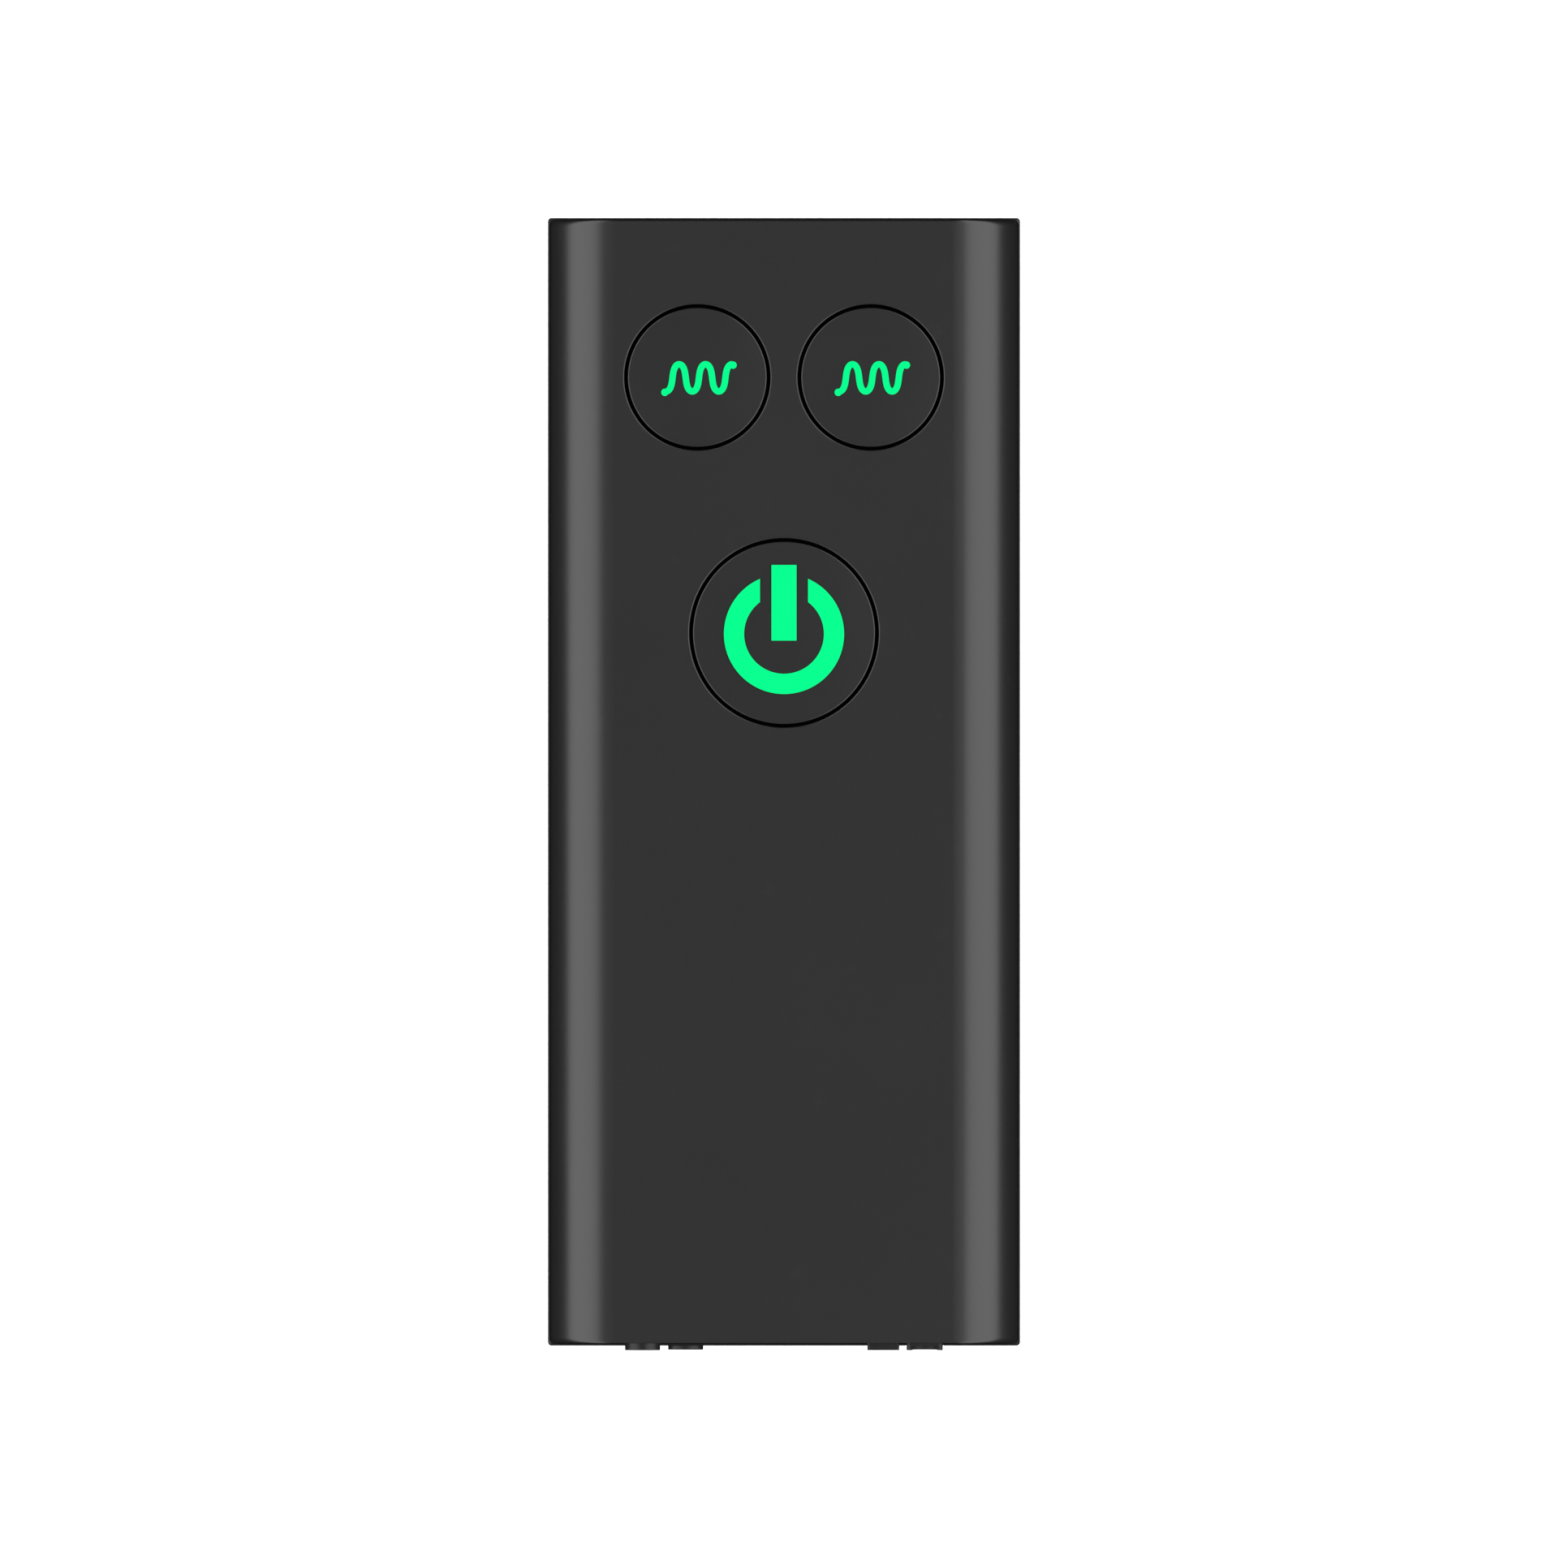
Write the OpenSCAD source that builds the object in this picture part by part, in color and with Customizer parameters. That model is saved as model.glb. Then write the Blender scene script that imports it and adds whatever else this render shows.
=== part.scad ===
// Bluetooth audio receiver: a slab-shaped plastic case that lies on its back.
// X runs across the case, Y along it towards the plain end, Z up out of the front face.
// The origin is the middle of the surface that it rests on.

/* [Case] */
// Width across the rear shell's rim
body_w = 67; // [66:0.5:70]
// Length along the rear shell's rim
body_l = 160; // [159:0.5:166]
// Thickness from the table to the front face
body_t = 24; // [24:0.25:26]
// Radius that rounds the long edges, front and back
edge_r = 9.4; // [8.5:0.1:9.5]
// Wall thickness of both shells
wall = 2; // [1.8:0.1:2.1]
// How far the front shell stands inside the rim, on every side
rim_step = 0.45; // [0.4:0.05:0.6]

/* [Buttons] */
// Radius of the two level buttons' caps
small_cap_r = 9.85; // [9:0.05:10]
// Radius of the power button's cap
power_cap_r = 12.92; // [11.5:0.02:13.2]
// Open groove round each cap
cap_gap = 0.5; // [0.4:0.02:0.6]
// How far each cap stands above the front face
cap_proud = 0.4; // [0.2:0.05:0.5]
// Travel of each button
button_travel = 0.6; // [0.3:0.05:0.6]

/* [Connectors] */
// How far the sockets and the slider stand out of the connector end
port_proud = 0.6; // [0.3:0.1:1]
// Outer diameter of each audio socket's round nose
nose_d = 5; // [4.8:0.1:5]
// Bore of each audio socket, for a 3.5 mm plug
jack_bore_d = 3.6; // [3.52:0.02:3.6]
// Travel of the slider
slider_travel = 2.5; // [1.5:0.1:2.5]

/* [Battery] */
// Width of the pouch cell
cell_w = 44; // [30:1:46]
// Length of the pouch cell
cell_l = 68; // [40:1:70]
// Thickness of the pouch cell
cell_t = 6; // [4:0.5:6.5]

/* [Hidden] */
$fn = 96;
eps = 0.01;
foot_proud = 0.8;
foot_sink = 0.6;
part_z = foot_proud + (body_t - foot_proud) / 2;
floor_z = foot_proud + wall;
roof_z = body_t - wall;
half_l = body_l / 2;
front_w = body_w - 2 * rim_step;
front_l = body_l - 2 * rim_step;
ridge_t = 0.3;
ridge_h = 0.5;
fit_gap = 0.1;
rear_wall = wall + 0.2;
tongue_t = 1.2;
tongue_drop = 1.5;

// The main board lies in the parting plane.
board_t = 1.6;
board_z = part_z - board_t / 2;
board_top = board_z + board_t;
board_w = 58.8;
board_y0 = -half_l + 3.6;
board_y1 = 67.4;

// Buttons: place, cap radius. The two level buttons mirror each other.
small_x = 12.28;
small_y = 57.3;
power_y = 21.1;
left_at = [-small_x, small_y, 0];
right_at = [small_x, small_y, 0];
power_at = [0, power_y, 0];
cap_top = body_t + cap_proud;
cap_plate = 1.4;
cap_wall = 1.2;
cap_edge = 0.15;
hole_edge = 0.2;
flange_w = 1.4;
flange_t = 1;
flange_z = roof_z - fit_gap - flange_t;
guide_t = 1.2;
guide_z = cap_top - cap_plate - guide_t;
stem_r = 1.8;
plunger_r = 1.75;
plunger_gap = 0.05;
switch_w = 6;
switch_h = 3.5;
cover_t = 0.3;
plunger_top = board_top + 4.7;

// Power mark: a broken ring and a bar, placed from the ring's centre.
ring_drop = 0.15;
ring_ro = 8.52;
ring_ri = 5.65;
ring_gap = 3.4;
bar_w = 3.55;
bar_y0 = -0.95;
bar_y1 = 9.77;

// Level mark: a line of even width along two and a half waves, with a round dot at each end.
wave_half = 1.873;
wave_halves = 5;
wave_x0 = -4.45;
wave_mid = -0.08;
wave_amp = 1.93;
wave_lean = 0.62;
wave_line = 0.9;
wave_steps = 100;
wave_dot = 0.52;
wave_out = 0.15;
wave_drop = 0.12;

// Connector end: places across the case and up from the table.
port_y = -half_l - port_proud;
end_in_y = -front_l / 2 + wall;
phone_x = -20.05;
line_x = -13.96;
jack_w = 6;
jack_h = 6.7;
jack_rise = 3.4;
jack_y0 = -half_l + 2.6;
jack_y1 = -65.8;
jack_bore_l = 14;
phone_z = board_top + jack_rise;
line_z = board_z - jack_rise;
contact_ys = [-75, -71.8, -68.6];
usb_x = 19.96;
usb_w = 3.26;
usb_h = 8.94;
usb_sheet = 0.3;
usb_y1 = -half_l + 8;
bezel_w = 5.13;
bezel_h = 10.9;
bezel_hole_w = 3.46;
bezel_hole_h = 9.14;
slider_x = 14.08;
slider_w = 4.55;
slider_h = 3;
slider_z = board_top + 2.2;
lever_w = 1.5;
lever_h = 1;
groove_pitch = 0.9;
groove_r = 0.26;
groove_out = 0.1;
groove_end = 0.45;

// Fasteners
screw_r = 1;
pilot_r = 1.02;
clear_r = 1.15;
head_r = 1.9;
head_h = 1.3;
boss_r = 2.8;
post_r = 3.2;
case_screws_at = [[-20, 71, 0], [20, 71, 0], [0, -71, 0]];
board_screws_at = [[-26, 36, 0], [26, 36, 0], [-26, -40, 0], [26, -40, 0]];
foot_y = 71;
foot_w = 46;
foot_l = 7;
head_z = floor_z + 1.2;

// Battery
tape_t = 0.5;
cell_z = floor_z + tape_t;
cell_y = 0;
guard_l = 3.4;
plug_y = -48;
lead_r = 0.6;
lead_x = 1.2;
// Each lead's route from the plug to the cell's guard board, as [y, z].
lead_route = [[-43.6, 9.6], [-42.4, 9.6], [-41.2, 9.1], [-40.2, 8.3], [-39.4, 7.4], [-38.5, 7], [-37.4, 7]];
sides = 8;
last = len(lead_route) - 1;

// Board parts
capacitors_at = [[-20, -46, 0], [-20, -54, 0], [-12, -54, 0], [6, -36, 0], [14, -30, 0]];
chip_pitch = 2.2;
// Each row of chip parts: its first part's x and y, and how many there are.
chip_rows = [[-0.5, -12, 8], [12, -22, 6], [8, -60, 4], [-24, 2, 5]];

case_dark = [0.2, 0.2, 0.2];
cap_dark = [0.2, 0.2, 0.2];
mark_green = [0, 1, 0.56];
socket_black = [0.1, 0.1, 0.1];
steel = [0.75, 0.75, 0.77];
gold = [0.85, 0.68, 0.3];
board_green = [0.05, 0.3, 0.18];
silicone_grey = [0.55, 0.56, 0.58];

// A box given by its two corners.
module block(low, high) {
    translate(low) cube(high - low);
}

// A rectangle centred on X, with its low and high corners rounded by their own radii.
module rounded_section(w, low, high, r_low, r_high) {
    intersection() {
        translate([-w / 2, low]) square([w, high - low]);
        union() {
            translate([-w / 2, low + r_low]) square([w, high - low - r_low - r_high]);
            if (r_low > 0) edge_pair(w, r_low, low, low + r_low);
            if (r_high > 0) edge_pair(w, r_high, high - r_high - eps, high - r_high);
        }
    }
}

// Both round corners of one edge and the strip between them, which starts at base.
module edge_pair(w, r, base, centre) {
    translate([-w / 2 + r, base]) square([w - 2 * r, r + eps]);
    for (s = [-1, 1]) translate([s * (w / 2 - r), centre]) circle(r);
}

// Carries a drawing of X and Z along Y, from y0 to y1.
module along_y(y0, y1) {
    translate([0, y1, 0]) rotate([90, 0, 0]) linear_extrude(y1 - y0) children();
}

// A plate with rounded corners seen from above.
module plan_plate(w, l, r, z0, z1) {
    translate([0, 0, z0]) linear_extrude(z1 - z0)
        rounded_section(w, -l / 2, l / 2, r, r);
}

// A round bar along Y.
module rod_y(r, y0, y1) {
    translate([0, y1, 0]) rotate([90, 0, 0]) cylinder(h = y1 - y0, r = r);
}

// ---- Case ----

module front_solid() {
    intersection() {
        along_y(-front_l / 2, front_l / 2) rounded_section(front_w, part_z, body_t, 0, edge_r);
        plan_plate(front_w, front_l, 1, part_z - 1, body_t + 1);
    }
}

module front_hollow() {
    along_y(-front_l / 2 + wall, front_l / 2 - wall)
        rounded_section(front_w - 2 * wall, part_z - 1, roof_z, 0, edge_r - wall);
}

module button_hole(r) {
    translate([0, 0, roof_z - 1]) cylinder(h = wall + 2, r = r);
    translate([0, 0, body_t - hole_edge]) cylinder(h = hole_edge + eps, r1 = r, r2 = r + hole_edge);
}

// The tongue that drops into the rear shell along both sides and the plain end.
module front_tongue() {
    out_x = body_w / 2 - rear_wall - fit_gap;
    out_y = half_l - rear_wall - fit_gap;
    for (s = [-1, 1])
        block([s > 0 ? out_x - tongue_t : -out_x, -66, part_z - tongue_drop],
              [s > 0 ? out_x : -out_x + tongue_t, 74, part_z + 1.5]);
    block([-24, out_y - tongue_t, part_z - tongue_drop], [24, out_y, part_z + 1.5]);
}

module bezel_opening() {
    block([usb_x - bezel_w / 2 - fit_gap, port_y - 1, part_z - bezel_h / 2 - fit_gap],
          [usb_x + bezel_w / 2 + fit_gap, end_in_y + 2, part_z + bezel_h / 2 + fit_gap]);
}

module front_shell() {
    color(case_dark) difference() {
        union() {
            difference() {
                front_solid();
                front_hollow();
            }
            front_tongue();
            for (p = case_screws_at) translate(p) translate([0, 0, part_z + 0.05])
                cylinder(h = roof_z - part_z + 0.45, r = boss_r);
            for (p = board_screws_at) translate(p) translate([0, 0, board_top])
                cylinder(h = roof_z - board_top + 0.3, r = 2.3);
        }
        translate(left_at) button_hole(small_cap_r + cap_gap);
        translate(right_at) button_hole(small_cap_r + cap_gap);
        translate(power_at) button_hole(power_cap_r + cap_gap);
        for (p = case_screws_at) translate(p) translate([0, 0, part_z - 1])
            cylinder(h = 6.5, r = pilot_r);
        for (p = board_screws_at) translate(p) translate([0, 0, board_top - 1])
            cylinder(h = 6.5, r = pilot_r);
        translate([phone_x, 0, phone_z]) rod_y(nose_d / 2 + fit_gap, port_y - 1, end_in_y + 1);
        bezel_opening();
        block([slider_x - slider_w / 2 - slider_travel - 0.25, port_y - 1, slider_z - slider_h / 2 - 0.25],
              [slider_x + slider_w / 2 + 0.25, end_in_y + 1, slider_z + slider_h / 2 + 0.25]);
    }
}

module rear_solid() {
    intersection() {
        along_y(-half_l, half_l) rounded_section(body_w, foot_proud, part_z + ridge_h, edge_r, 0);
        plan_plate(body_w, body_l, 0.5, 0, part_z + 1);
    }
}

module foot_outline(grow) {
    for (s = [-1, 1]) translate([s * (foot_w - foot_l) / 2, 0]) circle(foot_l / 2 + grow);
    translate([-(foot_w - foot_l) / 2, -foot_l / 2 - grow]) square([foot_w - foot_l, foot_l + 2 * grow]);
}

module rear_shell() {
    color(case_dark) difference() {
        union() {
            difference() {
                rear_solid();
                along_y(-half_l + rear_wall, half_l - rear_wall)
                    rounded_section(body_w - 2 * rear_wall, floor_z, body_t, edge_r - rear_wall, 0);
                plan_plate(body_w - 2 * ridge_t, body_l - 2 * ridge_t, 0.3, part_z, body_t);
            }
            for (p = case_screws_at) translate(p) translate([0, 0, floor_z - eps])
                cylinder(h = part_z - floor_z, r = post_r);
        }
        for (s = [-1, 1]) translate([0, s * foot_y, 0]) linear_extrude(foot_proud + foot_sink)
            foot_outline(0.1);
        for (p = case_screws_at) translate(p) {
            cylinder(h = head_z + head_h, r = head_r + 0.2);
            cylinder(h = body_t, r = clear_r);
        }
        translate([line_x, 0, line_z]) rod_y(nose_d / 2 + fit_gap, port_y - 1, end_in_y + 1);
        bezel_opening();
    }
}

module foot_strips() {
    color(socket_black) for (s = [-1, 1]) translate([0, s * foot_y, 0])
        linear_extrude(foot_proud + foot_sink) foot_outline(0);
}

// A pan-head screw, head down, with its shank pointing up from the origin.
module screw(shank_l) {
    difference() {
        union() {
            translate([0, 0, -head_h]) cylinder(h = head_h, r = head_r);
            cylinder(h = shank_l, r = screw_r);
        }
        for (a = [0, 90]) rotate([0, 0, a])
            block([-1.1, -0.2, -head_h - eps], [1.1, 0.2, -head_h + 0.6]);
    }
}

module case_screws() {
    color(steel) for (p = case_screws_at) translate(p) translate([0, 0, head_z + head_h]) screw(10);
}

// ---- Main board ----

module main_board() {
    color(board_green) difference() {
        block([-board_w / 2, board_y0, board_z], [board_w / 2, board_y1, board_top]);
        translate(case_screws_at[2]) cylinder(h = body_t, r = post_r + 0.3);
        for (p = board_screws_at) translate(p) cylinder(h = body_t, r = clear_r);
        block([usb_x - 2.05, board_y0 - 1, 0], [usb_x + 2.05, usb_y1 + 0.6, body_t]);
    }
}

module board_screws() {
    color(steel) for (p = board_screws_at) translate(p) translate([0, 0, board_z]) screw(6);
}

// ---- Buttons ----

module power_mark() {
    translate([0, -ring_drop]) {
        difference() {
            circle(ring_ro);
            circle(ring_ri);
            translate([-ring_gap, 0]) square([2 * ring_gap, ring_ro + 1]);
        }
        translate([-bar_w / 2, bar_y0]) square([bar_w, bar_y1 - bar_y0]);
    }
}

// The line's middle at t half waves from its start: a cosine whose crests are widened by wave_lean.
function wave_point(t) = [wave_x0 + wave_half * (t + wave_lean * sin(360 * t) / (2 * PI)),
                          wave_mid - wave_amp * cos(180 * t)];
function wave_heading(t) = [wave_half * (1 + wave_lean * cos(360 * t)), wave_amp * PI * sin(180 * t)];
function wave_edge(t, side) = let (h = unit(wave_heading(t)))
    wave_point(t) + side * wave_line / 2 * [-h[1], h[0]];
// An edge point counts only if it hasn't crossed over the middle of a crest on the crest's inner side.
function wave_inner(t, side) = t == round(t) && t > 0 && t < wave_halves && (t % 2 == 1) == (side < 0);
function wave_kept(t, side) =
    let (from = min(floor(t), wave_halves - 1), x = wave_edge(t, side)[0] - wave_x0 - from * wave_half)
    !wave_inner(t, side) && x >= -eps && x <= wave_half + eps;
function wave_side(side) = [for (i = [0 : wave_steps]) let (t = i * wave_halves / wave_steps)
    if (wave_kept(t, side)) wave_edge(t, side)];

module wave_mark() {
    upper = wave_side(1);
    lower = wave_side(-1);
    polygon(concat(upper, [for (i = [len(lower) - 1 : -1 : 0]) lower[i]]));
    translate(wave_point(0) + [-wave_out, -wave_drop]) circle(wave_dot);
    translate(wave_point(wave_halves) + [wave_out, -wave_drop]) circle(wave_dot);
}

// A cap is a cup with a flange that stops it against the shell; its mark is cut right through.
module cap(r) {
    color(cap_dark) difference() {
        union() {
            translate([0, 0, flange_z]) cylinder(h = cap_top - cap_edge - flange_z, r = r);
            translate([0, 0, cap_top - cap_edge]) cylinder(h = cap_edge, r1 = r, r2 = r - cap_edge);
            translate([0, 0, flange_z]) cylinder(h = flange_t, r = r + flange_w);
        }
        translate([0, 0, flange_z - 1]) cylinder(h = cap_top - cap_plate - flange_z + 1, r = r - cap_wall);
        translate([0, 0, cap_top - cap_plate - 1]) linear_extrude(cap_plate + 2) children();
    }
}

module left_cap() { translate(left_at) cap(small_cap_r) wave_mark(); }
module right_cap() { translate(right_at) cap(small_cap_r) wave_mark(); }
module power_cap() { translate(power_at) cap(power_cap_r) power_mark(); }

// A clear green disc under the cap: its raised mark fills the cut, its stem presses the switch.
module light_guide(r) {
    color(mark_green) {
        translate([0, 0, guide_z]) cylinder(h = guide_t, r = r - cap_wall - 0.05);
        translate([0, 0, cap_top - cap_plate - eps]) linear_extrude(cap_plate + eps) children();
        translate([0, 0, plunger_top]) cylinder(h = guide_z - plunger_top + eps, r = stem_r);
    }
}

module left_light_guide() { translate(left_at) light_guide(small_cap_r) wave_mark(); }
module right_light_guide() { translate(right_at) light_guide(small_cap_r) wave_mark(); }
module power_light_guide() { translate(power_at) light_guide(power_cap_r) power_mark(); }

// A silicone bellows ring between the board and the cap's flange.
module return_pad(r) {
    low = board_top;
    high = flange_z;
    color(silicone_grey) rotate_extrude()
        polygon([[r - 3, low], [r - 0.6, low], [r - 0.6, low + 0.8], [r - 1.2, low + 0.8],
                 [r + 0.4, high - 1], [r + 0.9, high - 1], [r + 0.9, high], [r - 0.9, high],
                 [r - 0.9, high - 1], [r - 0.5, high - 1], [r - 2.1, low + 0.8], [r - 3, low + 0.8]]);
}

module left_return_pad() { translate(left_at) return_pad(small_cap_r); }
module right_return_pad() { translate(right_at) return_pad(small_cap_r); }
module power_return_pad() { translate(power_at) return_pad(power_cap_r); }

module switch_body() {
    top = board_top + switch_h - cover_t;
    color(socket_black) difference() {
        block([-switch_w / 2, -switch_w / 2, board_top], [switch_w / 2, switch_w / 2, top]);
        translate([0, 0, board_top + 0.6]) cylinder(h = switch_h, r = plunger_r + plunger_gap);
    }
}

module left_switch_body() { translate(left_at) switch_body(); }
module right_switch_body() { translate(right_at) switch_body(); }
module power_switch_body() { translate(power_at) switch_body(); }

module switch_covers() {
    top = board_top + switch_h;
    color(steel) for (p = [left_at, right_at, power_at]) translate(p) difference() {
        union() {
            block([-switch_w / 2, -switch_w / 2, top - cover_t], [switch_w / 2, switch_w / 2, top]);
            for (s = [-1, 1]) translate([s * (switch_w / 2 + cover_t / 2), 0, 0])
                block([-cover_t / 2, -1.5, board_top], [cover_t / 2, 1.5, top]);
        }
        cylinder(h = body_t, r = plunger_r + 0.1);
    }
}

module plunger() {
    low = board_top + 0.6 + button_travel + 0.1;
    color(socket_black) translate([0, 0, low]) cylinder(h = plunger_top - low, r = plunger_r);
}

module left_plunger() { translate(left_at) plunger(); }
module right_plunger() { translate(right_at) plunger(); }
module power_plunger() { translate(power_at) plunger(); }

module icon_lamps() {
    color("white") for (p = [left_at, right_at, power_at], s = [-1, 1]) translate(p)
        translate([s * 5, 0, board_top]) difference() {
            block([-0.8, -1.6, 0], [0.8, 1.6, 1.4]);
            translate([0, 0, 1]) cylinder(h = 1, r = 0.6);
        }
}

// ---- Audio sockets ----

// A socket block with its round nose. side is +1 on top of the board and -1 under it.
module audio_socket(x, z, side) {
    foot_z = side > 0 ? board_top : board_z;
    far_z = foot_z + side * jack_h;
    color(socket_black) difference() {
        union() {
            block([x - jack_w / 2, jack_y0, min(foot_z, far_z)],
                  [x + jack_w / 2, jack_y1, max(foot_z, far_z)]);
            translate([x, 0, z]) rod_y(nose_d / 2, port_y, jack_y0 + eps);
        }
        translate([x, 0, z]) rod_y(jack_bore_d / 2, port_y - 1, port_y + jack_bore_l);
        for (y = contact_ys, s = [-1, 1]) translate([x + s * jack_w / 2, y, z])
            block([-0.6, -0.8, -4], [0.6, 0.8, 4]);
    }
}

// Spring contacts that lie in the block's side slots and reach the board.
module socket_contacts(x, z, side) {
    foot_z = side > 0 ? board_top : board_z;
    tip_z = z + side * 1.6;
    color(gold) for (y = contact_ys, s = [-1, 1]) translate([x + s * jack_w / 2, y, 0]) {
        block([-0.45, -0.6, min(foot_z, tip_z)], [-0.05, 0.6, max(foot_z, tip_z)]);
        block([s > 0 ? -0.45 : -1, -0.6, min(foot_z, foot_z + side * 0.25)],
              [s > 0 ? 0.9 : -0.05, 0.6, max(foot_z, foot_z + side * 0.25)]);
    }
}

module headphone_socket() { audio_socket(phone_x, phone_z, 1); }
module headphone_contacts() { socket_contacts(phone_x, phone_z, 1); }
module line_socket() { audio_socket(line_x, line_z, -1); }
module line_contacts() { socket_contacts(line_x, line_z, -1); }

// ---- Charging socket, standing on edge ----

// A slot with round ends, tall in Z.
module slot_section(w, h) {
    translate([-w / 2, -h / 2 + w / 2]) square([w, h - w]);
    for (s = [-1, 1]) translate([0, s * (h - w) / 2]) circle(w / 2);
}

module usb_shell() {
    color(steel) translate([usb_x, 0, part_z]) {
        difference() {
            along_y(-half_l, usb_y1) slot_section(usb_w, usb_h);
            along_y(-half_l - 1, usb_y1 + 1) slot_section(usb_w - 2 * usb_sheet, usb_h - 2 * usb_sheet);
        }
        for (s = [-1, 1], y = [-75.4, -73.2])
            block([s > 0 ? usb_w / 2 - 0.1 : -2.9, y, board_t / 2],
                  [s > 0 ? 2.9 : -usb_w / 2 + 0.1, y + 1, board_t / 2 + usb_sheet]);
    }
}

module usb_tongue() {
    color(socket_black) translate([usb_x, 0, part_z]) {
        along_y(usb_y1 - 2.4, usb_y1) slot_section(usb_w - 2 * usb_sheet - 0.1, usb_h - 2 * usb_sheet - 0.1);
        block([-0.35, -half_l + 0.7, -3.35], [0.35, usb_y1 - 2, 3.35]);
    }
}

module usb_contacts() {
    color(gold) translate([usb_x, 0, part_z])
        for (s = [-1, 1], i = [0 : 11]) translate([0, 0, (i - 5.5) * 0.5])
        block([s > 0 ? 0.35 : -0.43, -half_l + 1.1, -0.13], [s > 0 ? 0.43 : -0.35, usb_y1 - 2.5, 0.13]);
}

// The collar that frames the socket; the side that faces forwards is notched.
module usb_bezel() {
    color(socket_black) translate([usb_x, 0, part_z]) difference() {
        union() {
            along_y(port_y, end_in_y + 0.2) rounded_section(bezel_w, -bezel_h / 2, bezel_h / 2, 0.6, 0.6);
            along_y(end_in_y + 0.1, end_in_y + 0.9) rounded_section(6.4, -6.6, 6.6, 0.8, 0.8);
        }
        along_y(port_y - 1, end_in_y + 2) slot_section(bezel_hole_w, bezel_hole_h);
        block([-bezel_hole_w / 2, port_y - 1, 3], [bezel_hole_w / 2, -half_l - 0.05, bezel_h]);
    }
}

// ---- Slider ----

module slide_switch_body() {
    color(steel) difference() {
        block([8.2, -75.9, board_top], [16.6, -71.6, board_top + 3.6]);
        block([9.9, -75.1, slider_z - 1], [15.8, -72.3, slider_z + 1]);
        block([10.6, -76.5, slider_z - lever_h / 2 - 0.1], [15.1, -75, slider_z + lever_h / 2 + 0.1]);
    }
}

module slide_switch_terminals() {
    color(gold) for (i = [-1, 0, 1]) translate([12.4 + i * 2.5, 0, board_top])
        block([-0.3, -71.6, 0], [0.3, -70.2, 0.3]);
}

module slide_lever() {
    color(socket_black) translate([slider_x, 0, slider_z]) {
        block([-lever_w / 2, -half_l + 1.4, -lever_h / 2], [lever_w / 2, -74.6, lever_h / 2]);
        block([-1.5, -74.9, -0.8], [1.5, -72.6, 0.8]);
    }
}

module slide_knob() {
    color(socket_black) translate([slider_x, 0, slider_z]) difference() {
        union() {
            block([-slider_w / 2, port_y, -slider_h / 2], [slider_w / 2, end_in_y + 0.4, slider_h / 2]);
            block([-5.8, end_in_y + 0.2, -1.95], [2.4, end_in_y + 0.9, 2.2]);
        }
        for (i = [-1.5 : 1 : 1.5])
            translate([i * groove_pitch, port_y - groove_out, groove_end - slider_h / 2])
                cylinder(h = slider_h - 2 * groove_end, r = groove_r);
        block([-lever_w / 2, -half_l + 1.4, -lever_h / 2], [lever_w / 2, end_in_y + 2, lever_h / 2]);
    }
}

// ---- Radio module ----

module radio_board() {
    color(board_green) block([-26, -30, board_top], [-11, -9, board_top + 0.8]);
}

module radio_chip() {
    color(socket_black) block([-21.5, -27, board_top + 0.8], [-15.5, -21, board_top + 1.7]);
}

module radio_shield() {
    color(steel) difference() {
        block([-25, -29.4, board_top + 0.8], [-12, -16.4, board_top + 2.8]);
        block([-24.8, -29.2, board_top], [-12.2, -16.6, board_top + 2.6]);
    }
}

module chip_antenna() {
    color("white") block([-22.5, -12.4, board_top + 0.8], [-15.5, -10.4, board_top + 1.8]);
}

// ---- Audio and power circuit ----

// A square chip whose first corner is marked by a small dimple.
module chip(x, y, w, h) {
    color(socket_black) difference() {
        block([x - w / 2, y - w / 2, board_top], [x + w / 2, y + w / 2, board_top + h]);
        translate([x - w / 2 + 0.9, y + w / 2 - 0.9, board_top + h - 0.1]) cylinder(h = 1, r = 0.3);
    }
}

module converter_chip() { chip(6, -22, 7, 1); }
module amplifier_chip() { chip(-6, -46, 5, 1); }
module charger_chip() { chip(20, -52, 4, 0.9); }

module crystal() {
    color(steel) translate([-3, -22, 0]) plan_plate(2.5, 3.2, 0.4, board_top, board_top + 0.8);
}

// A ferrite bobbin: two plates on a round core.
module power_inductor() {
    color([0.3, 0.3, 0.32]) translate([20, -43, 0]) {
        plan_plate(6, 6, 1.2, board_top, board_top + 0.7);
        translate([0, 0, board_top]) cylinder(h = 2.8, r = 2.3);
        plan_plate(6, 6, 1.2, board_top + 2.2, board_top + 2.9);
    }
}

module output_capacitors() {
    color(steel) for (p = capacitors_at) translate(p) translate([0, 0, board_top + 1])
        cylinder(h = 4.8, r = 3);
}

module capacitor_bases() {
    color(socket_black) for (p = capacitors_at) translate(p)
        plan_plate(6.4, 6.4, 0.8, board_top, board_top + 1);
}

// Rows of chip resistors and ceramic capacitors beside the larger parts.
module chip_parts() {
    color([0.55, 0.45, 0.35]) for (row = chip_rows, i = [0 : row[2] - 1])
        translate([row[0] + i * chip_pitch, row[1], board_top]) block([-0.4, -0.8, 0], [0.4, 0.8, 0.6]);
}

// ---- Battery ----

module battery_cell() {
    color([0.72, 0.73, 0.75]) along_y(-cell_l / 2, cell_l / 2)
        rounded_section(cell_w, cell_z, cell_z + cell_t, cell_t / 2 - 0.3, cell_t / 2 - 0.3);
}

module battery_guard() {
    color(board_green) block([-cell_w / 2 + 4, -cell_l / 2 - guard_l, cell_z + 2],
                             [cell_w / 2 - 4, -cell_l / 2, cell_z + 5]);
}

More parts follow.
